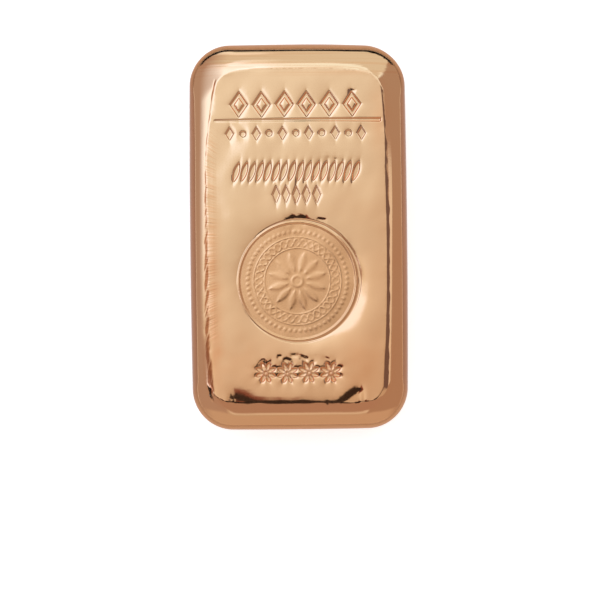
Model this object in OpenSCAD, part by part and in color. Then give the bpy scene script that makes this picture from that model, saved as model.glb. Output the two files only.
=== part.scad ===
// Cast copper ingot: a one-kilogram bar poured into an open mould.
// It lies on its flat back, and the poured surface with its stamped medallion faces up.
// Millimetres. X runs across the bar, Y along it, Z up from the back.

/* [Bar] */
// Overall length, at the middle of the ends
bar_l = 100; // [85:0.5:125]
// Overall width, at the middle of the long sides
bar_w = 56.4; // [48:0.2:70]
// Overall height, from the back to the rim
bar_h = 21.7; // [18:0.1:30]
// Corner radius seen from above, at the widest line
corner_r = 10.4; // [8:0.1:14]
// How far the long sides bulge between their corners
side_bow = 0.4; // [0:0.05:1]
// How far the ends bulge between their corners
end_bow = 0.25; // [0:0.05:0.8]

/* [Mould] */
// Draft of the mould's walls, in degrees from upright
draft = 5; // [1:0.5:8]
// Radius between the walls and the back
heel_r = 3; // [1:0.1:4]

/* [Poured surface] */
// Height of the rolled shoulder above the widest line
shoulder_h = 5; // [3:0.1:7]
// Width of the shoulder along the sides
side_shoulder_w = 4.8; // [3.5:0.1:6]
// Width of the shoulder across the ends
end_shoulder_w = 7; // [5:0.1:9]
// Turn of the shoulder up to its crease, in degrees of a quarter round
shoulder_turn = 70; // [55:1:88]
// Corner radius of the crease
crease_r = 7; // [6:0.1:9]
// How far the face sank below its rim as the metal shrank
sink = 0.45; // [0.1:0.05:1]
// Width of the slope from the rim down to the flat of the face
sink_run = 6; // [3:0.1:6.5]
// Corner radius of the flat
flat_r = 3; // [1:0.1:5]

/* [Medallion] */
// Radius of the round stamp
stamp_r = 15.7; // [10:0.1:16.5]
// Place of the stamp's centre along the bar, from the middle
stamp_y = -11.5; // [-18:0.5:18]
// Depth of the stamp's field below the flat
field_depth = 0.5; // [0.2:0.05:1]
// Depth of the raised ring's top below the flat
ring_depth = 0.2; // [0.05:0.05:0.19]
// Width of the raised ring at its top
ring_w = 0.7; // [0.4:0.1:1.5]
// Distance from the stamp's wall to the ring's foot
ring_gap = 0.3; // [0.1:0.05:0.8]
// Slope width of the ring's two flanks
ring_flank = 0.3; // [0.1:0.05:0.6]

/* [Score line] */
// Length of the straight line pressed across the face
line_l = 43; // [20:0.5:44]
// Place of the line along the bar, from the middle
line_y = 30; // [20:0.5:34]
// Width of the line's floor
line_w = 0.6; // [0.3:0.1:1.5]
// Depth of the line below the flat
line_depth = 0.3; // [0.1:0.05:0.8]
// Lean of the line's flanks, in degrees from upright
line_lean = 35; // [10:1:50]

/* [Hidden] */

// Facets: along a quarter of a corner, a long side, an end, and up each curve
corner_steps = 12;
side_steps = 12;
end_steps = 8;
heel_steps = 5;
shoulder_steps = 12;
sink_steps = 6;

// How far a cutting tool stands proud of the face that it cuts
overrun = 1;

// Derived places
quarter = 90;
half_turn = 180;
widest_z = bar_h - shoulder_h;
flat_z = bar_h - sink;
crease_half_w = bar_w / 2 - side_shoulder_w;
crease_half_l = bar_l / 2 - end_shoulder_w;

// A section is a rounded rectangle at one height: [half width, half length, corner radius, height]
function section(half_w, half_l, r, z) = [half_w, half_l, r, z];

// The widest outline, drawn in evenly on all sides
function inset_section(inset, z) =
    section(bar_w / 2 - inset, bar_l / 2 - inset, corner_r - inset, z);

// How far the drafted wall has come in at a height
function wall_inset(z) = (widest_z - z) * tan(draft);

// The heel: a round from the back up to the wall, tangent to both
heel_wall_z = heel_r * (1 - sin(draft));
heel_centre_inset = wall_inset(heel_wall_z) + heel_r * cos(draft);
heel_sections = [
    for (i = [0 : heel_steps])
        let (turn = quarter + (draft - quarter) * i / heel_steps)
            inset_section(heel_centre_inset - heel_r * cos(turn), heel_r * (1 - sin(turn)))
];

// The shoulder: part of a quarter ellipse, upright at the widest line and cut off by the crease
function shoulder_in(turn) = (1 - cos(turn)) / (1 - cos(shoulder_turn));
function shoulder_up(turn) = sin(turn) / sin(shoulder_turn);
shoulder_sections = [
    for (i = [0 : shoulder_steps])
        let (turn = shoulder_turn * i / shoulder_steps, share = shoulder_in(turn))
            section(
                bar_w / 2 - side_shoulder_w * share,
                bar_l / 2 - end_shoulder_w * share,
                corner_r + (crease_r - corner_r) * share,
                widest_z + shoulder_h * shoulder_up(turn)
            )
];

// The sunken face: an S-shaped slope from the crease down to the flat
function sunk(share) = sink * (1 - cos(half_turn * share)) / 2;
sink_sections = [
    for (i = [1 : sink_steps])
        let (share = i / sink_steps)
            section(
                crease_half_w - sink_run * share,
                crease_half_l - sink_run * share,
                crease_r + (flat_r - crease_r) * share,
                bar_h - sunk(share)
            )
];

// Bulges a point of a section: the sides and ends draw in towards their corners
function bowed(x, y, s) = [
    x * (1 - side_bow / s[0] * pow(y / s[1], 2)),
    y * (1 - end_bow / s[1] * pow(x / s[0], 2)),
    s[3]
];

// One corner's arc, from the angle at which it starts
function corner_points(s, sign_x, sign_y, start) = [
    for (i = [0 : corner_steps])
        let (a = start + quarter * i / corner_steps)
            [sign_x * (s[0] - s[2]) + s[2] * cos(a), sign_y * (s[1] - s[2]) + s[2] * sin(a)]
];

// Points inside a straight stretch, without its two ends
function stretch_points(from, to, steps) = [
    for (i = [1 : steps - 1]) from + (to - from) * i / steps
];

// A section's outline, anticlockwise from above
function outline(s) =
    let (
        straight_x = s[0] - s[2],
        straight_y = s[1] - s[2],
        plain = concat(
            corner_points(s, 1, 1, 0),
            stretch_points([straight_x, s[1]], [-straight_x, s[1]], end_steps),
            corner_points(s, -1, 1, quarter),
            stretch_points([-s[0], straight_y], [-s[0], -straight_y], side_steps),
            corner_points(s, -1, -1, 2 * quarter),
            stretch_points([-straight_x, -s[1]], [straight_x, -s[1]], end_steps),
            corner_points(s, 1, -1, 3 * quarter),
            stretch_points([s[0], -straight_y], [s[0], straight_y], side_steps)
        )
    )
    [for (p = plain) bowed(p[0], p[1], s)];

// Skins a stack of sections, from the lowest outline over the top, and closes both ends
module loft(sections) {
    rings = [for (s = sections) outline(s)];
    n = len(rings[0]);
    last = len(rings) - 1;
    walls = [
        for (k = [0 : last - 1], i = [0 : n - 1])
            let (
                low = k * n + i,
                low_next = k * n + (i + 1) % n,
                high = low + n,
                high_next = low_next + n
            )
            each [[low, high, high_next], [low, high_next, low_next]]
    ];
    back = [[for (i = [0 : n - 1]) i]];
    flat = [[for (i = [n - 1 : -1 : 0]) last * n + i]];
    polyhedron(points = [for (ring = rings) each ring], faces = concat(back, walls, flat));
}

// The bar as it leaves the mould
module casting() {
    loft(concat(heel_sections, shoulder_sections, sink_sections));
}

// What the round die presses out of the flat: a field with a raised ring near its wall
module die() {
    ring_foot_out = stamp_r - ring_gap;
    ring_top_out = ring_foot_out - ring_flank;
    ring_top_in = ring_top_out - ring_w;
    ring_foot_in = ring_top_in - ring_flank;
    rotate_extrude($fn = 180)
        polygon([
            [0, -field_depth],
            [ring_foot_in, -field_depth],
            [ring_top_in, -ring_depth],
            [ring_top_out, -ring_depth],
            [ring_foot_out, -field_depth],
            [stamp_r, -field_depth],
            [stamp_r, overrun],
            [0, overrun]
        ]);
}

// What the straight edge presses out of the face: a groove with leaning flanks and a level floor
module straight_edge() {
    tool_h = line_depth + sink + overrun;
    top_w = line_w + 2 * tool_h * tan(line_lean);
    rotate([quarter, 0, quarter])
        linear_extrude(height = line_l, center = true)
            polygon([
                [-line_w / 2, -line_depth],
                [line_w / 2, -line_depth],
                [top_w / 2, tool_h - line_depth],
                [-top_w / 2, tool_h - line_depth]
            ]);
}

module ingot() {
    color([0.80, 0.50, 0.33])
        difference() {
            casting();
            translate([0, stamp_y, flat_z]) die();
            translate([0, line_y, flat_z]) straight_edge();
        }
}

ingot();
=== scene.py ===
"""Looks of the copper ingot: a cast bar with a poured, punched and polished face, on a pale floor."""
import math
from collections import namedtuple

import bpy
import numpy as np
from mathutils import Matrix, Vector
from mathutils.geometry import delaunay_2d_cdt


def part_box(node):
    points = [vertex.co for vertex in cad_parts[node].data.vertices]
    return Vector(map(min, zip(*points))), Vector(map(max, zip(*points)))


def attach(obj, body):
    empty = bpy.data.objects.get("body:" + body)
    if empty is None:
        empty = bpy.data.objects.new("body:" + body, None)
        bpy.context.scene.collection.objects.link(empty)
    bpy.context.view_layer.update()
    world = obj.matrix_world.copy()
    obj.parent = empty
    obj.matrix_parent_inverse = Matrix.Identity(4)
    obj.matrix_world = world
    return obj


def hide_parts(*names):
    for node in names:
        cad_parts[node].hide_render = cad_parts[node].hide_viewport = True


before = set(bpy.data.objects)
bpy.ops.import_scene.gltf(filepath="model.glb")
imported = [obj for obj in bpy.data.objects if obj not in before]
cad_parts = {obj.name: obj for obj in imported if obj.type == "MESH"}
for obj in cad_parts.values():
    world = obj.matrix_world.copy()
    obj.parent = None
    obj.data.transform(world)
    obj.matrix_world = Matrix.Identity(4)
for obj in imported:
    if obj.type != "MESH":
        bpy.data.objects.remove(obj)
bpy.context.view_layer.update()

# Bar, in millimetres and radians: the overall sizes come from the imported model
MM = 0.001
box_low, box_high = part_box("ingot")
BAR_W, BAR_L, BAR_H = ((high - low) / MM for low, high in zip(box_low, box_high))
CORNER_R = 10.4
SIDE_BOW = 0.4
END_BOW = 0.25
BACK_DROOP = 0.8
DRAFT = math.radians(5)
HEEL_R = 3.0

# Poured surface: the shoulder rolls in from the widest line to a crease round the crowned face
CROWN = 0.15
SHOULDER_H = 5.0
SHOULDER_TURN = math.radians(70)
LEFT_SHOULDER = 4.33
RIGHT_SHOULDER = 4.85
BACK_SHOULDER = 6.6
FRONT_SHOULDER = 7.0
CREASE_R = 3.2
WIDEST_Z = BAR_H - SHOULDER_H
CREASE_Z = BAR_H - CROWN

# Shares of the shoulder's width at its crease, and where the roll would be level
CREASE_SHARE = 1.0
FULL_SHARE = CREASE_SHARE / (1 - math.cos(SHOULDER_TURN))

# Lean of the side creases towards their corners, at the back and at the front
LEFT_LEAN = (0.17, 0.1)
LEFT_LEAN_STARTS = (19.0, -25.0)
LEFT_LEAN_SOFT = 8.0
RIGHT_BEND = (0.0009, 0.0004)
SIDE_ZONE = (5.0, 15.0)

# Bow of the end creases towards their corners: its size at a place along x, and its power
BOW_AT = 20.0
FRONT_BOW = (0.7, 4)
BACK_BOW = (1.6, 4)
BOW_ZONE = (5.0, 28.0)

# Softness of the crease, as the height over which its two slopes blend
LEFT_BLEND = 0.06
RIGHT_BLEND = 0.012
BACK_BLEND = 0.03
FRONT_BLEND = 0.004
END_ZONE = (36.0, 43.0)

# Step down to the front crease: each zone is a stretch along x at the left or right in which it changes
FRONT_SLOPE = 0.12
# Width of the step in the middle, at the left and at the right
FRONT_RUN = (1.3, 1.65, 1.45)
FRONT_RUN_ZONES = ((-8.5, -14.5), (9.0, 13.5))
# How far the step draws back from the crease at the left and at the right
FRONT_RISE = (0.9, 2.9)
FRONT_RISE_ZONES = ((-11.5, -17.5), (9.0, 16.0))
# Where the step ends
FRONT_END_ZONES = ((-16.8, -19.6), (15.0, 17.4))
FRONT_FOOT = 0.25

# Lip at the back crease
BACK_LIP = 0.02
BACK_LIP_RUN = 0.4

# Slope down to the right crease: its width at the back, in the middle and at the front, and its zones
RIGHT_SLOPE = 0.14
RIGHT_EASE = 0.25
RIGHT_RUN = (0.4, 0.8, 1.25)
RIGHT_BACK_ZONE = (26.0, 12.0)
RIGHT_FRONT_ZONE = (-16.0, -42.0)
RIGHT_DROP_ZONE = (18.5, 22.0)

# Waves left in the face by cooling and polishing, and the unevenness of its crease
WAVE_COUNT = 18
WAVE_SPREAD = (0.7, 1.4)
SWELL = 0.022
SWELL_LENGTH = 14.0
SWELL_SEED = 3
WAVE = 0.004
WAVE_LENGTH = 4.5
WAVE_SEED = 4
EDGE_WAVE = 0.01
EDGE_WAVE_LENGTH = 6.0
EDGE_WAVE_SEED = 5
EDGE_NICK = 0.002
EDGE_NICK_LENGTH = 1.6
EDGE_NICK_SEED = 9
EDGE_WAVE_RUN = 1.2

# Mesh: steps along the outline and up the wall, and where on the shoulder the face's cells start
CORNER_STEPS = 26
SIDE_STEPS = 116
END_STEPS = 54
HEEL_STEPS = 7
WALL_STEPS = 5
ROLL_STEPS = 18
EDGE_SHARE = 0.6
EDGE_ROOM = 0.2
RING_ROUNDS = 5
HALVINGS = 24
INSIDE_ONLY = 1
WELD = 1e-6

# Cells of the back and of the face, which are halved where they bend, and more so along parts of the crease
BACK_CELL = 4.0
COARSE_CELL = 1.0
SPLITS = 3
BEND_LIMIT = 0.012
BEND_REACH = 0.7
BEND_SAMPLES = 5
SIDE_CARE = 4.0
SIDE_CARE_W = (1.3, 0.8)
CORNER_CARE_W = 0.3
CORNER_CARE_X = (-15.0, 13.0)

# Punches: width of their walls, the metal dragged down with them, and how unevenly they were struck
PUNCH_WALL = 0.34
LIP = 0.07
LIP_RUN = 0.32
DRAG_RUN = 1.3
DRAG_REACH = 4.5
ROW_X = -0.5
STRIKE_SHIFT = 0.08
STRIKE_TURN = math.radians(1.5)
STRIKE_DEPTH = 0.15
STRIKE_SEED = 12

# Punched shapes
FRAME_HALF_W = 1.75
FRAME_HALF_H = 2.5
FRAME_STROKE = 0.84
LOZENGE_HALF_W = 1.0
LOZENGE_HALF_H = 1.65
PELLET_R = 0.75
LEAF_HALF_W = 0.68
LEAF_HALF_H = 2.6
LEAF_LEAN = math.radians(17)
TALL_HALF_W = 0.95
TALL_HALF_H = 2.2
FLOWER_PETALS = 8
FLOWER_MIDDLE = 1.65
FLOWER_HALF_W = 0.5
FLOWER_HALF_L = 1.1
FLOWER_PELLET_R = 0.42
FLOWER_R = FLOWER_MIDDLE + FLOWER_HALF_L

# Round stamp: a disc pressed askew into a wider hole, with a raised ring round its ornament
STAMP_X = -0.45
STAMP_Y = -11.5
DISC_R = 15.65
DISC_SINK = 0.1
DISC_TILT = 0.1
HOLE_X = 0.05
HOLE_R = 16.1
FIELD_DEPTH = 0.2
RING_W = 0.3
RING_FLANK = 0.3
STAMP_WALL = 0.35
STAMP_LIP = 0.015
STAMP_LIP_RUN = 1.5
STAMP_DRAG = 0.15
STAMP_DRAG_RUN = 2.4
STAMP_HEAVY = 12.0
STAMP_DEEP = (0.5, 1.0)
STAMP_WIDE = 0.5
STAMP_HEAVY_TURN = math.radians(-35)

# Ornament in the stamp's field: a rosette, a twisted band and a beaded border
PETALS = 12
ROSETTE_MIDDLE = 5.0
ROSETTE_HALF_W = 1.1
ROSETTE_HALF_L = 3.0
ROSETTE_RISE = 0.05
ROSETTE_SOFT = 0.7
HUB_R = 1.3
HUB_HALF_W = 0.3
BAND_R = 9.9
BAND_HALF_W = 0.95
BAND_WAVES = 18
STRAND_HALF_W = 0.16
BAND_LINES = (8.5, 11.3)
LINE_HALF_STROKE = 0.1
BEADS = 60
BEAD_R = 0.4
BEAD_RING_R = 12.8
FINE_RISE = 0.03
FINE_SOFT = 0.36

# Straight line across the face, narrow and shallow at its left end
LINE_HALF_L = 21.5
LINE_Y = 30.0
LINE_HALF_W = (0.22, 0.42)
LINE_DEPTH = (0.12, 0.38)
LINE_WALL = 0.4

# Groove along the left crease: its depth, half width and darkness at places along the bar; the darkness is
# painted shade
Station = namedtuple("Station", "y depth half_w dark")
GROOVE = [
    Station(-41.0, 0.0, 0.6, 0.0),
    Station(-39.5, 0.1, 0.6, 1.0),
    Station(-34.0, 0.08, 0.6, 0.9),
    Station(-28.0, 0.06, 0.6, 0.7),
    Station(-20.0, 0.05, 0.6, 0.65),
    Station(-12.0, 0.05, 0.55, 0.8),
    Station(-2.0, 0.05, 0.45, 0.9),
    Station(8.0, 0.04, 0.26, 0.8),
    Station(18.0, 0.03, 0.18, 0.5),
    Station(28.0, 0.03, 0.15, 0.5),
    Station(32.0, 0.07, 0.17, 0.9),
    Station(39.5, 0.1, 0.22, 1.0),
    Station(41.0, 0.0, 0.2, 0.0),
]
GROOVE_WANDER = 0.06
GROOVE_WANDER_LENGTH = 5.0
GROOVE_WANDER_SEED = 6

# Fine line of painted shade along the crease at the back
BACK_SEAM = 0.3
BACK_SEAM_HALF_W = 0.18
BACK_SEAM_INSET = 0.15
BACK_SEAM_ZONE = (-11.0, -8.0)

# Strip of fine strokes on the face beside the groove, in relief and with painted shade in their lines
STROKE_STRIP_W = 3.2
STROKE_STRIP_FADE = 1.2
STROKE_STRIP_HALF_L = 31.0
STROKE_STRIP_END = 10.0

# Small dents: place, half length, half widths of flank and tail, depth (below zero for a ridge) and turn
Dent = namedtuple("Dent", "x y half_l half_w tail depth turn")
DENTS = [
    Dent(9.1, 19.6, 2.8, 0.8, 2.0, 0.06, 0.0),
    Dent(-0.4, 4.3, 2.8, 0.8, 2.5, 0.085, 0.0),
    Dent(5.9, 4.3, 1.2, 0.4, 1.5, 0.06, -0.1),
    Dent(-1.3, -30.5, 1.2, 0.4, 0.7, 0.09, -0.1),
    Dent(1.0, -31.3, 1.2, 0.45, 0.7, 0.1, -0.4),
    Dent(-3.2, -31.7, 1.0, 0.35, 0.7, 0.09, -0.2),
    Dent(-5.4, -30.9, 0.6, 0.3, 0.6, 0.07, 0.3),
    Dent(-10.0, -32.6, 1.1, 0.4, 0.7, 0.09, 0.6),
    Dent(5.5, -31.6, 4.0, 1.2, 1.5, 0.05, 0.0),
    Dent(14.2, 37.6, 1.0, 0.3, 0.6, 0.06, 0.0),
    Dent(7.1, -43.0, 0.5, 0.3, 0.3, 0.03, math.pi / 2),
    Dent(-23.3, -42.0, 1.5, 0.45, 0.4, -0.15, math.radians(-65)),
]
DENT_RAGGED = 0.22
DENT_RAGGED_LENGTH = 2.2
DENT_RAGGED_SEED = 11

# Warm, darker patches in the face's colour, partly tarnish and partly painted shade beside the creases:
# place, half width, half length and strength
Patch = namedtuple("Patch", "x y half_w half_l strength")
PATCHES = [
    Patch(-22.0, -27.0, 2.4, 13.0, 0.45),
    Patch(-22.2, -5.0, 1.9, 14.0, 0.35),
    Patch(-15.0, -33.0, 8.0, 8.0, 0.2),
    Patch(16.5, -33.0, 6.0, 7.0, 0.3),
    Patch(21.0, 30.0, 2.0, 9.0, 0.3),
]
PATCH_UNEVEN = 0.15
PATCH_WAVE_LENGTH = 5.0
PATCH_WAVE_SEED = 14


def smooth(value):
    """Smooth step of a value clipped to 0 and 1."""
    t = np.clip(value, 0, 1)
    return t * t * (3 - 2 * t)


def between(value, zone):
    """Smooth step from the first limit of a zone to the second."""
    return smooth((value - zone[0]) / (zone[1] - zone[0]))


def ripple(x, y, length, seed):
    """Seeded smooth noise of about one wavelength."""
    rng = np.random.default_rng(seed)
    total = np.zeros_like(x)
    for _ in range(WAVE_COUNT):
        heading = rng.uniform(0, 2 * math.pi)
        pull = 2 * math.pi / (length * rng.uniform(*WAVE_SPREAD))
        phase = rng.uniform(0, 2 * math.pi)
        total += np.cos(pull * (x * math.cos(heading) + y * math.sin(heading)) + phase)
    return total / math.sqrt(WAVE_COUNT / 2)


def soft_min(a, b, soft):
    """The lower of two heights, rounded where they are closer than soft."""
    overlap = np.maximum(soft - np.abs(a - b), 0) / soft
    return np.minimum(a, b) - overlap**2 * soft / 4


def bow(x, size, power):
    """How far the crease at an end draws in towards its corners."""
    return size * np.abs(x / BOW_AT) ** power


def left_lean(y):
    """How far the crease at the left draws in towards its corners."""
    back_start, front_start = LEFT_LEAN_STARTS
    past = np.maximum(np.maximum(y - back_start, front_start - y), 0)
    return np.where(np.asarray(y) > 0, *LEFT_LEAN) * (np.hypot(past, LEFT_LEAN_SOFT) - LEFT_LEAN_SOFT)


def right_lean(y):
    """How far the crease at the right draws in towards its corners."""
    return np.where(np.asarray(y) > 0, *RIGHT_BEND) * y**2


def eased(share):
    """A share of the shoulder's width that rises fast at first and stops at the crease."""
    return 1 - (1 - np.minimum(share, 1)) ** 2


def section(share, x, y):
    """Left, right, front and back edges and corner radius of the shoulder at a share of its width."""
    return (
        (LEFT_SHOULDER + left_lean(y)) * share - BAR_W / 2,
        BAR_W / 2 - (RIGHT_SHOULDER + right_lean(y)) * share,
        (FRONT_SHOULDER + bow(x, *FRONT_BOW)) * share - BAR_L / 2,
        BAR_L / 2 - BACK_SHOULDER * share - bow(x, *BACK_BOW) * eased(share),
        CORNER_R + (CREASE_R - CORNER_R) * np.minimum(share, 1) ** 2,
    )


def crease(x, y):
    """Left, right, front and back edges and corner radius of the crease."""
    return section(CREASE_SHARE, x, y)


def inset_section(inset):
    """The widest outline, drawn in evenly on all sides."""
    return (
        inset - BAR_W / 2,
        BAR_W / 2 - inset,
        inset - BAR_L / 2,
        BAR_L / 2 - inset,
        CORNER_R - inset,
    )


def outside(x, y, left, right, front, back, radius):
    """Distance outside a rounded rectangle, negative inside it."""
    across = np.abs(x - (left + right) / 2) - (right - left) / 2 + radius
    along = np.abs(y - (front + back) / 2) - (back - front) / 2 + radius
    corner = np.hypot(np.maximum(across, 0), np.maximum(along, 0))
    return corner + np.minimum(np.maximum(across, along), 0) - radius


def roll_height(share):
    """Height of the shoulder at a share of its width."""
    turn = np.arccos(1 - share / FULL_SHARE)
    return WIDEST_Z + (CREASE_Z - WIDEST_Z) * np.sin(turn) / math.sin(SHOULDER_TURN)


def front_fall(x, y):
    """How far the face has fallen down the step along its front edge, which curves back at both ends."""
    in_run, in_rise, in_end = (
        [between(x, zone) for zone in zones]
        for zones in (FRONT_RUN_ZONES, FRONT_RISE_ZONES, FRONT_END_ZONES)
    )
    middle, left, right = FRONT_RUN
    run = middle + (left - middle) * in_run[0] + (right - middle) * in_run[1]
    rise = FRONT_RISE[0] * in_rise[0] + FRONT_RISE[1] * in_rise[1]
    inset = y - crease(x, y)[2] - rise
    upper = run * np.exp(-np.maximum(inset, 0) / run)
    lower = FRONT_FOOT * (1 - np.exp(np.minimum(inset, 0) / FRONT_FOOT))
    return FRONT_SLOPE * (upper + lower) * (1 - in_end[0] - in_end[1])


def right_run(y):
    """Width of the slope beside the right crease."""
    back, middle, front = RIGHT_RUN
    from_back = (middle - back) * between(y, RIGHT_BACK_ZONE)
    return back + from_back + (front - middle) * between(y, RIGHT_FRONT_ZONE)


def right_fall(x, y):
    """How far the face has fallen down the slope beside its right crease."""
    along = np.maximum(x - crease(x, y)[1] + right_run(y), 0)
    curved = np.minimum(along, RIGHT_EASE)
    return RIGHT_SLOPE * (along - curved + curved**2 / (2 * RIGHT_EASE))


def crease_drop(x, y):
    """How far the crease lies below its height at the left."""
    left, right, front, _, _ = crease(x, y)
    at_front = front_fall(np.clip(x, left, right), np.maximum(y, front))
    return at_front + RIGHT_SLOPE * (right_run(y) - RIGHT_EASE / 2) * between(x, RIGHT_DROP_ZONE)


def shoulder(x, y):
    """Height of the shoulder's roll, carried on past the crease to its level top."""
    low = np.zeros_like(x)
    high = np.full_like(x, FULL_SHARE)
    for _ in range(HALVINGS):
        middle = (low + high) / 2
        inside = outside(x, y, *section(middle, x, y)) < 0
        low = np.where(inside, middle, low)
        high = np.where(inside, high, middle)
    return roll_height(low) - crease_drop(x, y) * low


def poured_face(x, y):
    """Height of the face inside the crease, before it is punched."""
    left, right, front, back, _ = crease(x, y)
    across = (2 * x - left - right) / (right - left)
    along = (2 * y - front - back) / (back - front)
    crown = CROWN * np.maximum(1 - across**2, 0) * np.maximum(1 - along**2, 0)
    inset = -outside(x, y, *crease(x, y))
    near_edge = np.exp(-np.maximum(inset, 0) / EDGE_WAVE_RUN)
    fall = front_fall(x, y) + right_fall(x, y)
    swells = SWELL * ripple(x, y, SWELL_LENGTH, SWELL_SEED)
    waves = swells + WAVE * ripple(x, y, WAVE_LENGTH, WAVE_SEED)
    nicks = EDGE_NICK * ripple(x, y, EDGE_NICK_LENGTH, EDGE_NICK_SEED)
    uneven = EDGE_WAVE * ripple(x, y, EDGE_WAVE_LENGTH, EDGE_WAVE_SEED) + nicks
    lip = BACK_LIP * np.exp(-np.maximum(back - y, 0) / BACK_LIP_RUN)
    return CREASE_Z + crown + lip - fall + waves * (1 - near_edge) + uneven * near_edge


def crease_blend(x, y):
    """How softly the face meets the shoulder on each side."""
    side = np.where(x > 0, RIGHT_BLEND, LEFT_BLEND)
    end = np.where(y > 0, BACK_BLEND, FRONT_BLEND)
    return side + (end - side) * between(np.abs(y), END_ZONE)


def grooved(x, y):
    """Depth of the groove along the left crease, and how dark its painted shade is."""
    depth, half_w, dark = (
        np.interp(y, [station.y for station in GROOVE], values)
        for values in list(zip(*GROOVE))[1:]
    )
    wander = GROOVE_WANDER * ripple(np.zeros_like(x), y, GROOVE_WANDER_LENGTH, GROOVE_WANDER_SEED)
    inside = np.exp(-(((x - crease(x, y)[0] - wander) / half_w) ** 2))
    return depth * inside, dark * inside


def back_seam(x, y):
    """How dark the painted shade of the fine line along the back crease is."""
    gap = crease(x, y)[3] - y - BACK_SEAM_INSET
    return BACK_SEAM * between(x, BACK_SEAM_ZONE) * np.exp(-((gap / BACK_SEAM_HALF_W) ** 2))


def stroked_and_shaded(x, y):
    """How strongly the face beside the groove carries fine strokes, in relief and with painted shade."""
    gap = x - crease(x, y)[0]
    along = smooth((STROKE_STRIP_HALF_L - np.abs(y)) / STROKE_STRIP_END)
    return along * smooth(gap / STROKE_STRIP_FADE + 0.5) * smooth((STROKE_STRIP_W - gap) / STROKE_STRIP_FADE)


def dented(x, y):
    """Depth of the small dents."""
    depth = np.zeros_like(x)
    ragged = DENT_RAGGED * ripple(x, y, DENT_RAGGED_LENGTH, DENT_RAGGED_SEED)
    for dent in DENTS:
        along = (x - dent.x) * math.cos(dent.turn) + (y - dent.y) * math.sin(dent.turn)
        across = (y - dent.y) * math.cos(dent.turn) - (x - dent.x) * math.sin(dent.turn)
        width = np.where(across > 0, dent.half_w, dent.tail)
        slope = across / width + ragged
        depth += dent.depth * np.exp(-((along / dent.half_l) ** 4) - slope**2)
    return depth


def warmth_and_shade(x, y):
    """How warm and dark the face's colour is at each point: partly tarnish, partly painted shade beside the
    creases.
    """
    uneven = 1 + PATCH_UNEVEN * ripple(x, y, PATCH_WAVE_LENGTH, PATCH_WAVE_SEED)
    total = np.zeros_like(x)
    for patch in PATCHES:
        across, along = (x - patch.x) / patch.half_w, (y - patch.y) / patch.half_l
        total += patch.strength * np.exp(-(across**2) - along**2)
    return np.clip(total * uneven, 0, 1)


# Punched shapes: about the distance outside each, from its middle
def turned(u, v, count):
    """Distance along the circle from the nearest of evenly spaced rays."""
    step = 2 * math.pi / count
    return ((np.arctan2(v, u) / step) % 1 - 0.5) * step * np.hypot(u, v)


def lozenge(u, v, half_w, half_h):
    """A lozenge."""
    return (np.abs(u) * half_h + np.abs(v) * half_w - half_w * half_h) / math.hypot(half_w, half_h)


def barley(u, v, half_w, half_h):
    """A grain that two arcs enclose."""
    radius = (half_w**2 + half_h**2) / (2 * half_w)
    return np.hypot(np.abs(u) + radius - half_w, v) - radius


def lozenge_frame(u, v):
    """The outline of a lozenge, drawn with a stroke."""
    return np.abs(lozenge(u, v, FRAME_HALF_W, FRAME_HALF_H)) - FRAME_STROKE / 2


def small_lozenge(u, v):
    """A filled lozenge."""
    return lozenge(u, v, LOZENGE_HALF_W, LOZENGE_HALF_H)


def pellet(u, v):
    """A round dot."""
    return np.hypot(u, v) - PELLET_R


def leaf(u, v):
    """A leaf that leans to the right."""
    across = u * math.cos(LEAF_LEAN) - v * math.sin(LEAF_LEAN)
    along = v * math.cos(LEAF_LEAN) + u * math.sin(LEAF_LEAN)
    return barley(across, along, LEAF_HALF_W, LEAF_HALF_H)


def tall_lozenge(u, v):
    """A tall filled lozenge."""
    return lozenge(u, v, TALL_HALF_W, TALL_HALF_H)


def flower(u, v):
    """Petals round a pellet."""
    radius = np.hypot(u, v)
    petal = barley(turned(u, v, FLOWER_PETALS), radius - FLOWER_MIDDLE, FLOWER_HALF_W, FLOWER_HALF_L)
    return np.minimum(petal, radius - FLOWER_PELLET_R)


Row = namedtuple("Row", "shapes y count pitch depth drag half_w half_h")
ROWS = [
    Row([lozenge_frame], 34.0, 6, 5.85, 0.3, 0.05, FRAME_HALF_W, FRAME_HALF_H),
    Row([small_lozenge, pellet], 26.5, 11, 3.4, 0.2, 0.03, LOZENGE_HALF_W, LOZENGE_HALF_H),
    Row([leaf], 16.7, 16, 2.06, 0.26, 0.05, LEAF_HALF_W, LEAF_HALF_H),
    Row([tall_lozenge], 10.7, 5, 2.6, 0.2, 0.03, TALL_HALF_W, TALL_HALF_H),
    Row([flower], -35.0, 4, 5.6, 0.3, 0.08, FLOWER_R, FLOWER_R),
]


def struck_row(row, rng):
    """Each mark of a row: its shape, place, turn and depth."""
    for i in range(row.count):
        shift_x, shift_y = rng.uniform(-STRIKE_SHIFT, STRIKE_SHIFT, 2)
        x = (i - (row.count - 1) / 2) * row.pitch + ROW_X + shift_x
        turn = rng.uniform(-STRIKE_TURN, STRIKE_TURN)
        depth = row.depth * (1 + rng.uniform(-STRIKE_DEPTH, STRIKE_DEPTH))
        yield row.shapes[i % len(row.shapes)], x, row.y + shift_y, turn, depth


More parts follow.
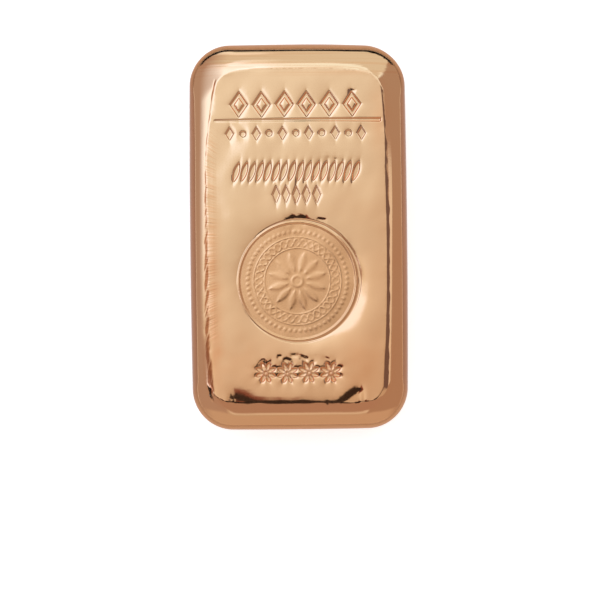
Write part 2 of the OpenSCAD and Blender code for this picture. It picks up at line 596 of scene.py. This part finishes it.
def punched(x, y):
    """Depth of the punched marks at each point, with the metal that they dragged down."""
    rng = np.random.default_rng(STRIKE_SEED)
    depth = np.zeros_like(x)
    for row in ROWS:
        beside = np.abs(x - ROW_X) - (row.count - 1) * row.pitch / 2 - row.half_w
        above = np.abs(y - row.y) - row.half_h
        away = np.hypot(np.maximum(beside, 0), np.maximum(above, 0))
        near = away < DRAG_REACH
        nearest = np.full(near.sum(), DRAG_REACH)
        cut = np.zeros(near.sum())
        for shape, mark_x, mark_y, turn, mark_depth in struck_row(row, rng):
            across, along = x[near] - mark_x, y[near] - mark_y
            gap = shape(
                across * math.cos(turn) + along * math.sin(turn),
                along * math.cos(turn) - across * math.sin(turn),
            )
            nearest = np.minimum(nearest, gap)
            cut = np.maximum(cut, mark_depth * smooth(0.5 - gap / PUNCH_WALL))
        out = np.maximum(nearest, 0)
        fade = smooth(2 - 2 * away[near] / DRAG_REACH)
        depth[near] += cut + fade * (LIP * np.exp(-out / LIP_RUN) + row.drag * np.exp(-out / DRAG_RUN))
    return depth


def ornament(x, y):
    """Height of the ornament raised from the stamp's field."""
    radius = np.hypot(x, y)
    angle = np.arctan2(y, x)
    petal = barley(turned(x, y, PETALS), radius - ROSETTE_MIDDLE, ROSETTE_HALF_W, ROSETTE_HALF_L)
    swing = BAND_HALF_W * np.cos(angle * BAND_WAVES)
    steep = np.hypot(1, BAND_HALF_W * BAND_WAVES / BAND_R * np.sin(angle * BAND_WAVES))
    strands = [np.abs(radius - BAND_R - side * swing) / steep - STRAND_HALF_W for side in (-1, 1)]
    lines = [np.abs(radius - line_r) - LINE_HALF_STROKE for line_r in BAND_LINES]
    hub = np.abs(radius - HUB_R) - HUB_HALF_W
    bead = np.hypot(turned(x, y, BEADS), radius - BEAD_RING_R) - BEAD_R
    raised = ROSETTE_RISE * smooth(-petal / ROSETTE_SOFT)
    for gap in (*strands, *lines, hub, bead):
        raised = np.maximum(raised, FINE_RISE * smooth(0.5 - gap / FINE_SOFT))
    return raised


def stamped(x, y):
    """Depth of the round stamp at each point, with the metal that it dragged down."""
    radius = np.hypot(x - STAMP_X, y - STAMP_Y)
    gap = np.hypot(x - HOLE_X, y - STAMP_Y) - HOLE_R
    out = np.maximum(gap, 0)
    turn = np.arctan2(y - STAMP_Y, x - HOLE_X) - STAMP_HEAVY_TURN
    near, far = (np.maximum(side * np.cos(turn), 0) ** 2 for side in (1, -1))
    lip = STAMP_LIP * (1 + STAMP_HEAVY * near)
    deep = STAMP_DRAG * (1 + STAMP_DEEP[0] * near + STAMP_DEEP[1] * far)
    run = STAMP_DRAG_RUN * (1 + STAMP_WIDE * (near + far))
    drag = lip * np.exp(-out / STAMP_LIP_RUN) + deep * np.exp(-out / run)
    disc = DISC_SINK + DISC_TILT * (x - STAMP_X) / DISC_R
    ring_middle = DISC_R - RING_FLANK - RING_W / 2
    ring = smooth((RING_W / 2 + RING_FLANK - np.abs(radius - ring_middle)) / RING_FLANK)
    sunk = disc + FIELD_DEPTH * (1 - ring) - ornament(x - STAMP_X, y - STAMP_Y)
    inside = smooth(-gap / STAMP_WALL)
    return drag * (1 - inside) + (STAMP_LIP + STAMP_DRAG + sunk) * inside


def score_line(x, y):
    """Depth of the straight line across the face."""
    along = np.clip((x / LINE_HALF_L + 1) / 2, 0, 1)
    half_w = LINE_HALF_W[0] + (LINE_HALF_W[1] - LINE_HALF_W[0]) * along
    depth = LINE_DEPTH[0] + (LINE_DEPTH[1] - LINE_DEPTH[0]) * along
    ends = smooth((LINE_HALF_L - np.abs(x)) / LINE_WALL + 0.5)
    return ends * depth * smooth((half_w - np.abs(y - LINE_Y)) / LINE_WALL + 0.5)


def recessed(x, y):
    """Depth of the punched marks and the straight line, whose steep walls the material colours deeper."""
    return punched(x, y) + score_line(x, y)


def top_height(x, y):
    """Height of the bar's top at each point inside the shoulder."""
    poured = soft_min(shoulder(x, y), poured_face(x, y), crease_blend(x, y))
    return poured - dented(x, y) - grooved(x, y)[0] - recessed(x, y) - stamped(x, y)


def outline(left, right, front, back, radius):
    """Points of a rounded rectangle, anticlockwise from above."""
    quarter = math.pi / 2
    corners = [
        (right - radius, back - radius, END_STEPS),
        (left + radius, back - radius, SIDE_STEPS),
        (left + radius, front + radius, END_STEPS),
        (right - radius, front + radius, SIDE_STEPS),
    ]
    points = []
    for i, (x, y, steps) in enumerate(corners):
        turn = np.linspace(i, i + 1, CORNER_STEPS, endpoint=False) * quarter
        points.append(np.stack([x + radius * np.cos(turn), y + radius * np.sin(turn)], 1))
        heading = radius * np.array([math.cos((i + 1) * quarter), math.sin((i + 1) * quarter)])
        start = np.array([x, y]) + heading
        end = np.array(corners[(i + 1) % len(corners)][:2]) + heading
        points.append(start + (end - start) * np.linspace(0, 1, steps, endpoint=False)[:, None])
    return np.concatenate(points)


def at_height(points, z):
    """Plan points with a height added."""
    return np.column_stack([points, np.broadcast_to(z, len(points))])


def inset_ring(inset, z):
    """Ring of points on the widest outline, drawn in evenly."""
    return at_height(outline(*inset_section(inset)), z)


def shoulder_ring(share):
    """Ring of points on the shoulder at a share of its width."""
    plain_x, plain_y = outline(*section(share, 0.0, 0.0)).T
    to_side = between(np.abs(plain_x), SIDE_ZONE)
    to_end = between(np.abs(plain_y), BOW_ZONE)
    x, y = plain_x, plain_y
    for _ in range(RING_ROUNDS):
        lean = np.where(plain_x < 0, left_lean(y), -right_lean(y))
        x = plain_x + share * lean * to_side
        bowed_in = np.where(plain_y < 0, share * bow(x, *FRONT_BOW), -eased(share) * bow(x, *BACK_BOW))
        y = plain_y + bowed_in * to_end
    return at_height(np.stack([x, y], 1), roll_height(share) - share * crease_drop(x, y))


def wall_rings():
    """Rings of points from the back up over the heel and the wall to the shoulder's upper part."""
    heel_top = HEEL_R * (1 - math.sin(DRAFT))
    heel_in = (WIDEST_Z - heel_top) * math.tan(DRAFT) + HEEL_R * math.cos(DRAFT)
    edge_turn = math.acos(1 - EDGE_SHARE / FULL_SHARE)
    rings = [
        inset_ring(heel_in - HEEL_R * math.cos(turn), HEEL_R * (1 - math.sin(turn)))
        for turn in np.linspace(math.pi / 2, DRAFT, HEEL_STEPS)
    ]
    rings += [
        inset_ring((WIDEST_Z - z) * math.tan(DRAFT), z)
        for z in np.linspace(heel_top, WIDEST_Z, WALL_STEPS, endpoint=False)[1:]
    ]
    rings += [
        shoulder_ring((1 - math.cos(turn)) * FULL_SHARE)
        for turn in np.linspace(0, edge_turn, ROLL_STEPS)
    ]
    return np.stack(rings)


def bend(x, y, size):
    """Largest second difference of the top's height over each cell."""
    steps = np.linspace(-BEND_REACH, BEND_REACH, BEND_SAMPLES) * size
    heights = np.stack([[top_height(x + dx, y + dy) for dx in steps] for dy in steps])
    across = np.abs(heights[:, :-2] + heights[:, 2:] - 2 * heights[:, 1:-1]).max((0, 1))
    along = np.abs(heights[:-2] + heights[2:] - 2 * heights[1:-1]).max((0, 1))
    left, right, _, _, _ = crease(x, y)
    gap = np.maximum(left - x, x - right)
    beside = (gap > -SIDE_CARE_W[1]) & (gap < SIDE_CARE_W[0])
    return np.maximum(across, along) * np.where(beside, SIDE_CARE, 1.0)


def front_corner(x, y):
    """Whether a place lies on the crease near one of the front corners."""
    on_crease = np.abs(outside(x, y, *crease(x, y))) < CORNER_CARE_W
    return on_crease & (y < -END_ZONE[0]) & ((x < CORNER_CARE_X[0]) | (x > CORNER_CARE_X[1]))


def graded_points():
    """Corners of square cells over the face, halved where the surface bends."""
    finest = COARSE_CELL / 2 ** (SPLITS + 1)
    half_w = math.ceil(BAR_W / 2)
    half_l = math.ceil(BAR_L / 2)
    x, y = np.meshgrid(np.arange(-half_w, half_w) + 0.5, np.arange(-half_l, half_l) + 0.5)
    x, y = x.ravel() * COARSE_CELL, y.ravel() * COARSE_CELL
    size = COARSE_CELL
    corners = []
    for level in range(SPLITS + 2):
        inside = outside(x, y, *section(EDGE_SHARE, x, y)) < size
        x, y = x[inside], y[inside]
        split = np.zeros(len(x), bool)
        if level < SPLITS:
            split = bend(x, y, size) > BEND_LIMIT
        elif level == SPLITS:
            split = front_corner(x, y)
        for side_x in (-0.5, 0.5):
            for side_y in (-0.5, 0.5):
                corners.append(np.stack([x[~split] + side_x * size, y[~split] + side_y * size], 1))
        x = np.concatenate([x[split] + side * size / 4 for side in (-1, 1, -1, 1)])
        y = np.concatenate([y[split] + side * size / 4 for side in (-1, -1, 1, 1)])
        size = size / 2
    points = np.unique(np.round(np.concatenate(corners) / finest).astype(int), axis=0) * finest
    x, y = points.T
    return points[outside(x, y, *section(EDGE_SHARE, x, y)) < -EDGE_ROOM]


def triangles(loop, inner):
    """Triangles over a closed loop of plan points and the points inside it, anticlockwise."""
    points = [Vector(p) for p in np.concatenate([loop, inner])]
    count = len(loop)
    edges = [(i, (i + 1) % count) for i in range(count)]
    made = delaunay_2d_cdt(points, edges, [], INSIDE_ONLY, WELD, False)
    return np.array(made[2])


def bowed(points):
    """Bulges the bar: its sides and ends draw in towards their corners, the back right one the most."""
    x, y, z = points.T
    across, along = x / (BAR_W / 2), y / (BAR_L / 2)
    droop = BACK_DROOP * np.maximum(across, 0) ** 2 * np.maximum(along, 0) ** 4
    return np.stack([x - SIDE_BOW * across * along**2, y - END_BOW * along * across**2 - droop, z], 1)


def ingot_mesh():
    """The whole bar as one closed mesh, with what its material has to know as attributes."""
    rings = wall_rings()
    ring_count, around = rings.shape[:2]
    face = graded_points()
    face_x, face_y = face.T
    steps = np.arange(-BAR_L / 2, BAR_L / 2, BACK_CELL)
    back = np.stack(np.meshgrid(steps, steps), -1).reshape(-1, 2)
    back_inset = BAR_W / 2 - rings[0][:, 0].max()
    back = back[outside(*back.T, *inset_section(back_inset)) < -BACK_CELL / 2]

    top_points = at_height(face, top_height(face_x, face_y))
    points = bowed(np.concatenate([rings.reshape(-1, 3), top_points, at_height(back, 0)]))
    corner = np.arange(around)
    next_corner = (corner + 1) % around
    faces = []
    for low in range(0, (ring_count - 1) * around, around):
        high = low + around
        faces += np.stack([low + corner, low + next_corner, high + next_corner, high + corner], 1).tolist()
    edge_start = (ring_count - 1) * around
    face_start = ring_count * around
    back_start = face_start + len(face)
    top = triangles(points[edge_start:face_start, :2], points[face_start:back_start, :2])
    faces += np.where(top < around, top + edge_start, top - around + face_start).tolist()
    under = triangles(points[:around, :2], points[back_start:, :2])[:, ::-1]
    faces += np.where(under < around, under, under - around + back_start).tolist()

    mesh = bpy.data.meshes.new("ingot_cast")
    mesh.from_pydata((points * MM).tolist(), [], faces)
    mesh.shade_smooth()
    given = {
        "recess": recessed(face_x, face_y),
        "painted_seam_shade": np.maximum(grooved(face_x, face_y)[1], back_seam(face_x, face_y)),
        "stroked_and_shaded": stroked_and_shaded(face_x, face_y),
        "warmth_and_shade": warmth_and_shade(face_x, face_y),
        "field": smooth((DISC_R - np.hypot(face_x - STAMP_X, face_y - STAMP_Y)) / STAMP_WALL),
    }
    for name, values in given.items():
        filled = np.zeros(len(points), np.float32)
        filled[face_start:back_start] = values
        mesh.attributes.new(name, "FLOAT", "POINT").data.foreach_set("value", filled)
    return mesh


# Node helpers
UNSCALED = 1.0
LINES_DETAIL = 2.0


def feed(tree, socket, value):
    """Links an output to a socket, or sets the socket's own value."""
    if isinstance(value, bpy.types.NodeSocket):
        tree.links.new(value, socket)
    else:
        socket.default_value = value


def calc(tree, operation, *values):
    """Output of a Math node."""
    node = tree.nodes.new("ShaderNodeMath")
    node.operation = operation
    for socket, value in zip(node.inputs, values):
        feed(tree, socket, value)
    return node.outputs[0]


def ramp(tree, value, start, end, low=0.0, high=1.0, way="SMOOTHSTEP"):
    """A value between two limits mapped to two others, by a smooth step."""
    node = tree.nodes.new("ShaderNodeMapRange")
    node.interpolation_type = way
    given = {"Value": value, "From Min": start, "From Max": end, "To Min": low, "To Max": high}
    for name, setting in given.items():
        feed(tree, node.inputs[name], setting)
    return node.outputs["Result"]


def blend(tree, share, first, second):
    """Mix of two colours."""
    node = tree.nodes.new("ShaderNodeMix")
    node.data_type = "RGBA"
    sockets = [s for s in node.inputs if s.enabled]
    for socket, value in zip(sockets, (share, first, second)):
        feed(tree, socket, value)
    return [s for s in node.outputs if s.enabled][0]


def parts_of(tree, vector):
    """The three parts of a vector."""
    node = tree.nodes.new("ShaderNodeSeparateXYZ")
    tree.links.new(vector, node.inputs[0])
    return node.outputs


def noise(tree, vector, scale, detail):
    """Noise of a scale in waves per metre."""
    node = tree.nodes.new("ShaderNodeTexNoise")
    node.inputs["Scale"].default_value = scale
    node.inputs["Detail"].default_value = detail
    tree.links.new(vector, node.inputs["Vector"])
    return node.outputs["Fac"]


def lines_noise(tree, x, y, scale):
    """Noise drawn out into lines, of two scales in waves per metre."""
    node = tree.nodes.new("ShaderNodeCombineXYZ")
    for socket, value, waves in zip(node.inputs, (x, y), scale):
        feed(tree, socket, calc(tree, "MULTIPLY", value, waves))
    return noise(tree, node.outputs[0], UNSCALED, LINES_DETAIL)


def attribute(tree, name):
    """A mesh attribute's value."""
    node = tree.nodes.new("ShaderNodeAttribute")
    node.attribute_name = name
    return node.outputs["Fac"]


# Copper: linear colours of the polished face and of its recesses, and of the painted shade in its seams and
# on its dull walls
PALE_COPPER = (0.945, 0.640, 0.395, 1)
WARM_COPPER = (0.930, 0.550, 0.310, 1)
DEEP_COPPER = (0.860, 0.380, 0.170, 1)
PAINTED_SEAM_SHADE = (0.500, 0.190, 0.080, 1)
FIELD_COPPER = (0.905, 0.530, 0.285, 1)
PAINTED_SIDE_SHADE = (0.320, 0.147, 0.078, 1)
PAINTED_END_SHADE = (0.420, 0.202, 0.094, 1)
FACE_ROUGH = (0.05, 0.1)
WALL_ROUGH = 0.2
FIELD_ROUGH = 0.12

# Clouds of more and less polish: waves per metre, and the shares between which they change the surface
CLOUD_SCALE = 60.0
CLOUD_DETAIL = 3.0
CLOUD_ROUGH = (0.3, 0.7)
CLOUD_WIPED = (0.4, 0.6)

# Drift of the face's colour from the front right to the back left, in metres: painted light, paler where
# the light falls brightest
TONE_LEAN = -0.7
TONE_DRIFT = 0.06
TONE_ZONE = (-0.03, 0.06)

# Deep colour of the recesses' steep walls, by the normal's upward part and the depth in millimetres
STEEP_LEVEL = (0.92, 0.72)
STEEP_DEPTH = (0.05, 0.12)
STEEP_SHARE = 0.75

# Dull walls, rougher and darkened with painted shade: where they set in, in metres, and by which upward
# part of the normal at sides and back
DULL_SHADE_HEIGHT = (0.0206, 0.0203)
PAINTED_END_SHADE_ZONE = (0.036, 0.046)
DULL_SHADE_BACK_ZONE = (0.036, 0.042)
DULL_SHADE_FRONT_ZONE = (-0.038, -0.046)
DULL_SHADE_STARTS = (0.767, 0.80)
DULL_SHADE_STOPS = (0.727, 0.775)
DULL_SHADE_FRONT_SHIFT = (0.0, 0.018)

# Fine relief, in metres and waves per metre: grain, wiping lines and the skin left by the mould
GRAIN_HEIGHT = 0.000002
GRAIN_SCALE = 1500.0
GRAIN_DETAIL = 2.0
WIPE_HEIGHT = 0.0000025
WIPE_SCALE = (35.0, 1100.0, 1.0)
WIPE_DETAIL = 3.0
WIPE_TURN = math.radians(28)
SKIN_HEIGHT = 0.00003
SKIN_SCALE = 500.0
SKIN_DETAIL = 4.0

# Lines that colour the copper: from and to which noise they show, and how strongly at either end
STROKE_HEIGHT = 0.00003
STROKE_SCALE = (110.0, 2200.0)
STROKE_FAN = 24.0
STROKE_PLACE = (-0.0239, -0.003)
STROKE_SHOWN = (0.45, 0.65, 0.0, 0.35)
STREAK_HEIGHT = 0.000015
STREAK_SCALE = (25.0, 1600.0)
STREAK_ZONE = (0.0405, 0.0430)
STREAK_SHOWN = (0.45, 0.6, 0.0, 0.25)
FRAY_SCALE = (150.0, 1500.0)
FRAY_LEAN = -0.3
FRAY_SHOWN = (0.35, 0.65, 0.4, 1.4)
SEAM_SHOWN = (0.1, 0.7)
Marks = namedtuple("Marks", "clouds grain skin wiping strokes streaks fray")


def copper_marks(tree, place, x, y):
    """Noises of the copper's surface."""
    stretched = tree.nodes.new("ShaderNodeMapping")
    stretched.inputs["Rotation"].default_value = (0, 0, WIPE_TURN)
    stretched.inputs["Scale"].default_value = WIPE_SCALE
    tree.links.new(place, stretched.inputs["Vector"])
    beside = calc(tree, "SUBTRACT", x, STROKE_PLACE[0])
    along = calc(tree, "MULTIPLY", calc(tree, "SUBTRACT", y, STROKE_PLACE[1]), STROKE_FAN)
    return Marks(
        clouds=noise(tree, place, CLOUD_SCALE, CLOUD_DETAIL),
        grain=noise(tree, place, GRAIN_SCALE, GRAIN_DETAIL),
        skin=noise(tree, place, SKIN_SCALE, SKIN_DETAIL),
        wiping=noise(tree, stretched.outputs["Vector"], UNSCALED, WIPE_DETAIL),
        strokes=lines_noise(tree, x, calc(tree, "MULTIPLY_ADD", beside, along, y), STROKE_SCALE),
        streaks=lines_noise(tree, x, y, STREAK_SCALE),
        fray=lines_noise(tree, y, calc(tree, "MULTIPLY_ADD", y, FRAY_LEAN, x), FRAY_SCALE),
    )


def wall_dullness_and_shade(tree, level, y, z):
    """How dull and darkened with painted shade the surface is: fully on the walls, and not at all from the
    shoulder's middle up.
    """
    at_back = ramp(tree, y, *DULL_SHADE_BACK_ZONE)
    shift = ramp(tree, y, *DULL_SHADE_FRONT_ZONE, *DULL_SHADE_FRONT_SHIFT)
    starts = calc(tree, "ADD", ramp(tree, at_back, 0, 1, *DULL_SHADE_STARTS), shift)
    stops = calc(tree, "ADD", ramp(tree, at_back, 0, 1, *DULL_SHADE_STOPS), shift)
    return calc(tree, "MULTIPLY", ramp(tree, level, starts, stops), ramp(tree, z, *DULL_SHADE_HEIGHT))


def copper_colour(tree, marks, level, x, y, wall):
    """Colour: painted light, pale at the back left and warmer at the front right; deep in the recesses;
    painted shade in the seams and on the dull walls.
    """
    # The drift from warm to pale across the face is painted light; the clouds add tone that differs at
    # random
    slant = calc(tree, "MULTIPLY_ADD", x, TONE_LEAN, y)
    tone = ramp(tree, calc(tree, "MULTIPLY_ADD", marks.clouds, TONE_DRIFT, slant), *TONE_ZONE)
    recess = ramp(tree, attribute(tree, "recess"), *STEEP_DEPTH)
    steep = calc(tree, "MULTIPLY", ramp(tree, level, *STEEP_LEVEL), recess)
    strokes = ramp(tree, marks.strokes, *STROKE_SHOWN)
    streaks = ramp(tree, marks.streaks, *STREAK_SHOWN)
    # The seams' dark colour is painted shade along the creases, frayed by noise
    frayed = calc(tree, "MULTIPLY", attribute(tree, "painted_seam_shade"), ramp(tree, marks.fray, *FRAY_SHOWN))
    to_end = ramp(tree, calc(tree, "ABSOLUTE", y), *PAINTED_END_SHADE_ZONE)
    layers = (
        # Warm patches: partly tarnish, partly painted shade beside the creases
        (attribute(tree, "warmth_and_shade"), DEEP_COPPER),
        (attribute(tree, "field"), FIELD_COPPER),
        (calc(tree, "MULTIPLY", steep, STEEP_SHARE), DEEP_COPPER),
        # The strokes' darker lines are partly their own tone and partly painted shade
        (calc(tree, "MULTIPLY", attribute(tree, "stroked_and_shaded"), strokes), DEEP_COPPER),
        (calc(tree, "MULTIPLY", ramp(tree, y, *STREAK_ZONE), streaks), DEEP_COPPER),
        (ramp(tree, frayed, *SEAM_SHOWN), PAINTED_SEAM_SHADE),
        # The walls' dark colour, darker at the sides than at the ends, is painted shade
        (wall, blend(tree, to_end, PAINTED_SIDE_SHADE, PAINTED_END_SHADE)),
    )
    colour = blend(tree, tone, WARM_COPPER, PALE_COPPER)
    for share, layer in layers:
        colour = blend(tree, share, colour, layer)
    return colour


def copper_roughness(tree, marks, wall):
    """Roughness: a little cloudy on the face, more in the stamp's field and on the walls."""
    rough = ramp(tree, marks.clouds, *CLOUD_ROUGH, *FACE_ROUGH)
    rough = calc(tree, "MULTIPLY_ADD", wall, WALL_ROUGH, rough)
    return calc(tree, "MULTIPLY_ADD", attribute(tree, "field"), FIELD_ROUGH, rough)


def copper_relief(tree, marks, y, wall):
    """Height of the fine relief."""
    layers = (
        (marks.wiping, ramp(tree, marks.clouds, *CLOUD_WIPED, 0.0, WIPE_HEIGHT)),
        (marks.skin, calc(tree, "MULTIPLY", wall, SKIN_HEIGHT)),
        (marks.grain, GRAIN_HEIGHT),
        (marks.strokes, calc(tree, "MULTIPLY", attribute(tree, "stroked_and_shaded"), STROKE_HEIGHT)),
        (marks.streaks, calc(tree, "MULTIPLY", ramp(tree, y, *STREAK_ZONE), STREAK_HEIGHT)),
    )
    height = 0.0
    for mark, size in layers:
        height = calc(tree, "MULTIPLY_ADD", mark, size, height)
    return height


def copper_material():
    """Polished copper with dull walls, darkened with painted shade."""
    material = bpy.data.materials.new("polished_copper")
    material.use_nodes = True
    tree = material.node_tree
    shader = tree.nodes["Principled BSDF"]
    shader.inputs["Metallic"].default_value = 1.0
    place = tree.nodes.new("ShaderNodeTexCoord").outputs["Object"]
    x, y, z = parts_of(tree, place)
    level = parts_of(tree, tree.nodes.new("ShaderNodeNewGeometry").outputs["Normal"])[2]
    marks = copper_marks(tree, place, x, y)
    wall = wall_dullness_and_shade(tree, level, y, z)
    bump = tree.nodes.new("ShaderNodeBump")
    bump.inputs["Strength"].default_value = 1.0
    bump.inputs["Distance"].default_value = 1.0
    tree.links.new(copper_relief(tree, marks, y, wall), bump.inputs["Height"])
    tree.links.new(copper_colour(tree, marks, level, x, y, wall), shader.inputs["Base Color"])
    tree.links.new(copper_roughness(tree, marks, wall), shader.inputs["Roughness"])
    tree.links.new(bump.outputs["Normal"], shader.inputs["Normal"])
    return material


# Light tent: cards on a flat map round the zenith, in degrees to the right and to the back
FAR = 400
ANY = (-FAR, FAR)
TINY = 1e-4
ROOF_SLANT = (-0.8, 0.75)
ROOF_DIM = (-8.0, (0.581, 0.494, 0.412, 1))
ROOF_BRIGHT = (10.0, (0.964, 1.011, 0.998, 1))

# Cards: limits, softness of the edges, how the sides lean to the right as they go back, and colour
Card = namedtuple("Card", "right back polar soft_right soft_back lean colour")
CARDS = {
    "back panel": Card((-60, 60), (11, 42), ANY, 3.0, 3.0, 0.0, (0.94, 1.0, 1.02, 1)),
    "back low line": Card((-1.3, 60), (26.2, 29.6), ANY, 0.8, 0.7, 0.0, (1.02, 1.25, 1.35, 1)),
    "back high line": Card((-1.3, 60), (33.6, 37.4), ANY, 0.8, 0.7, 0.0, (1.02, 1.22, 1.32, 1)),
    "back shade": Card((-1.3, 60), (38, 47), ANY, 0.8, 1.0, 0.0, (0.76, 0.76, 0.70, 1)),
    "back softbox": Card((-45, -1.3), (22, 38), ANY, 0.8, 0.8, 0.0, (1.2, 1.4, 1.75, 1)),
    "back softbox core": Card((-45, -1.3), (25, 31), ANY, 0.8, 0.8, 0.0, (1.5, 1.75, 2.4, 1)),
    "left softbox": Card((-60, -5), (2, 46), ANY, 2.0, 3.0, 0.0, (1.2, 1.4, 1.75, 1)),
    "back wall": Card((-70, 70), (45, FAR), ANY, 2.0, 2.0, 0.0, (0.76, 0.76, 0.70, 1)),
    "back top line": Card((-60, -2.0), (61, 70), ANY, 0.8, 2.0, 0.0, (1.0, 1.08, 1.12, 1)),
    "left panel": Card((-60, -8), (-30, -0.5), ANY, 3.0, 2.0, 0.0, (0.82, 0.80, 0.71, 1)),
    "left corner": Card((-FAR, -12), (-FAR, -1.6), ANY, 5.0, 1.4, 0.0, (0.47, 0.36, 0.32, 1)),
    "left wall": Card((-FAR, -51), (-FAR, 65), ANY, 15.0, 10.0, 0.35, (0.46, 0.35, 0.31, 1)),
    "right wall": Card((25, FAR), (-FAR, 60), ANY, 1.5, 3.0, 0.45, (0.45, 0.33, 0.27, 1)),
    "right strip": Card((25, 36), (-5, 5), ANY, 1.0, 1.5, 1.2, (0.84, 0.82, 0.78, 1)),
    "right screen": Card((10, 25), (-8, 9), ANY, 1.2, 1.5, 0.0, (0.18, 0.13, 0.13, 1)),
    "left glint": Card((-40, -20), (-11, -6.0), ANY, 1.0, 0.6, 0.0, (1.5, 1.75, 2.4, 1)),
    "left slit": Card((-40, -12), (-31, -11.0), ANY, 1.0, 0.6, 0.0, (0.03, 0.022, 0.02, 1)),
    "front floor": Card((-25, 25), (-38, -18.5), ANY, 15.0, 1.0, 0.0, (0.45, 0.32, 0.27, 1)),
    "front strip": Card((-5, 7), (-42.5, -38), ANY, 3.0, 1.5, 0.0, (0.72, 0.68, 0.63, 1)),
    "front wall": Card((-55, 55), (-FAR, -46), ANY, 15.0, 2.0, 0.0, (0.60, 0.49, 0.41, 1)),
    "front fringe": Card((-9, -0.6), (-14, -6.4), ANY, 0.8, 0.3, 0.0, (0.22, 0.065, 0.045, 1)),
    "front left arm": Card((-12, -1.4), (-14, -8.8), ANY, 0.7, 0.4, 0.0, (0.04, 0.028, 0.024, 1)),
    "front right arm": Card((3.2, 12), (-14, -6.8), ANY, 0.7, 0.4, 0.0, (0.04, 0.028, 0.024, 1)),
    "front screen": Card((-9, 12), (-FAR, -9.6), (0, 19.2), 0.7, 0.4, 0.0, (0.04, 0.028, 0.024, 1)),
    "horizon": Card(ANY, ANY, (85.6, FAR), 1.0, 3.5, 0.0, (1.25, 1.25, 1.25, 1)),
    "back horizon": Card(ANY, (51, FAR), (84, FAR), 2.0, 1.0, 0.0, (1.25, 1.25, 1.25, 1)),
    "back slit": Card(ANY, (51, FAR), (74, 84), 0.7, 0.7, 0.0, (0.012, 0.009, 0.008, 1)),
}


def tent_world():
    """World shader of the light tent."""
    world = bpy.data.worlds.new("light_tent")
    world.use_nodes = True
    bpy.context.scene.world = world
    tree = world.node_tree
    x, y, z = parts_of(tree, tree.nodes.new("ShaderNodeTexCoord").outputs["Generated"])
    polar = calc(tree, "MULTIPLY", calc(tree, "ARCCOSINE", z), math.degrees(1))
    flat = calc(tree, "SQRT", calc(tree, "MULTIPLY_ADD", x, x, calc(tree, "MULTIPLY", y, y)))
    spread = calc(tree, "DIVIDE", polar, calc(tree, "MAXIMUM", flat, TINY))
    right = calc(tree, "MULTIPLY", x, spread)
    back = calc(tree, "MULTIPLY", y, spread)

    slant = calc(tree, "MULTIPLY_ADD", right, ROOF_SLANT[0], calc(tree, "MULTIPLY", back, ROOF_SLANT[1]))
    share = ramp(tree, slant, ROOF_DIM[0], ROOF_BRIGHT[0], way="LINEAR")
    colour = blend(tree, share, ROOF_DIM[1], ROOF_BRIGHT[1])
    for card in CARDS.values():
        window = 1.0
        leant = calc(tree, "MULTIPLY_ADD", back, -card.lean, right)
        axes = (
            (leant, card.right, card.soft_right),
            (back, card.back, card.soft_back),
            (polar, card.polar, card.soft_back),
        )
        for value, limits, soft in axes:
            for limit, inward in zip(limits, (1, -1)):
                if limit not in ANY:
                    side = ramp(tree, value, limit - inward * soft, limit + inward * soft)
                    window = calc(tree, "MULTIPLY", side, window)
        colour = blend(tree, window, colour, card.colour)
    tree.links.new(colour, tree.nodes["Background"].inputs["Color"])


# Floor
FLOOR_HALF = 6.0
FLOOR_GREY = 0.9
FLOOR_LIFT = 0.7


def floor():
    """Plain white floor: seen directly or in the metal it is lifted to white, and it keeps its shadow."""
    mesh = bpy.data.meshes.new("floor")
    corners = [(x * FLOOR_HALF, y * FLOOR_HALF, 0) for x, y in ((-1, -1), (1, -1), (1, 1), (-1, 1))]
    mesh.from_pydata(corners, [], [range(len(corners))])
    obj = bpy.data.objects.new("floor", mesh)
    bpy.context.scene.collection.objects.link(obj)
    material = bpy.data.materials.new("white_floor")
    material.use_nodes = True
    tree = material.node_tree
    shader = tree.nodes["Principled BSDF"]
    shader.inputs["Base Color"].default_value = (FLOOR_GREY, FLOOR_GREY, FLOOR_GREY, 1)
    shader.inputs["Roughness"].default_value = 1.0
    shader.inputs["Specular IOR Level"].default_value = 0.0
    shader.inputs["Emission Color"].default_value = (1, 1, 1, 1)
    path = tree.nodes.new("ShaderNodeLightPath")
    seen = calc(tree, "MAXIMUM", path.outputs["Is Camera Ray"], path.outputs["Is Glossy Ray"])
    seen = calc(tree, "MAXIMUM", seen, path.outputs["Is Transmission Ray"])
    tree.links.new(calc(tree, "MULTIPLY", seen, FLOOR_LIFT), shader.inputs["Emission Strength"])
    mesh.materials.append(material)


# Camera: lens and sensor in millimetres, the picture in pixels, and where the bar's middle falls in it
LENS = 120
SENSOR = 36
PICTURE = 600
PIXELS_PER_MM = 3.85
BAR_PIXEL = (298.7, 236.9)
CAMERA_TURN = math.radians(-0.6)


def camera():
    """Camera straight above, turned a little, with the bar in the upper part of the picture."""
    data = bpy.data.cameras.new("camera")
    data.lens = LENS
    data.sensor_width = SENSOR
    obj = bpy.data.objects.new("camera", data)
    bpy.context.scene.collection.objects.link(obj)
    pixel = MM / PIXELS_PER_MM
    aim = Vector((PICTURE / 2 - BAR_PIXEL[0], BAR_PIXEL[1] - PICTURE / 2, 0)) * pixel
    obj.rotation_euler = (0, 0, CAMERA_TURN)
    aim.rotate(obj.rotation_euler)
    distance = PICTURE * pixel * LENS / SENSOR
    obj.location = aim + Vector((0, 0, WIDEST_Z * MM + distance))
    bpy.context.scene.camera = obj


bpy.context.scene.view_settings.view_transform = "Standard"
camera()
tent_world()
floor()
ingot = bpy.data.objects.new("ingot_cast", ingot_mesh())
bpy.context.scene.collection.objects.link(ingot)
ingot.data.materials.append(copper_material())
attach(ingot, "root")
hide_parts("ingot")
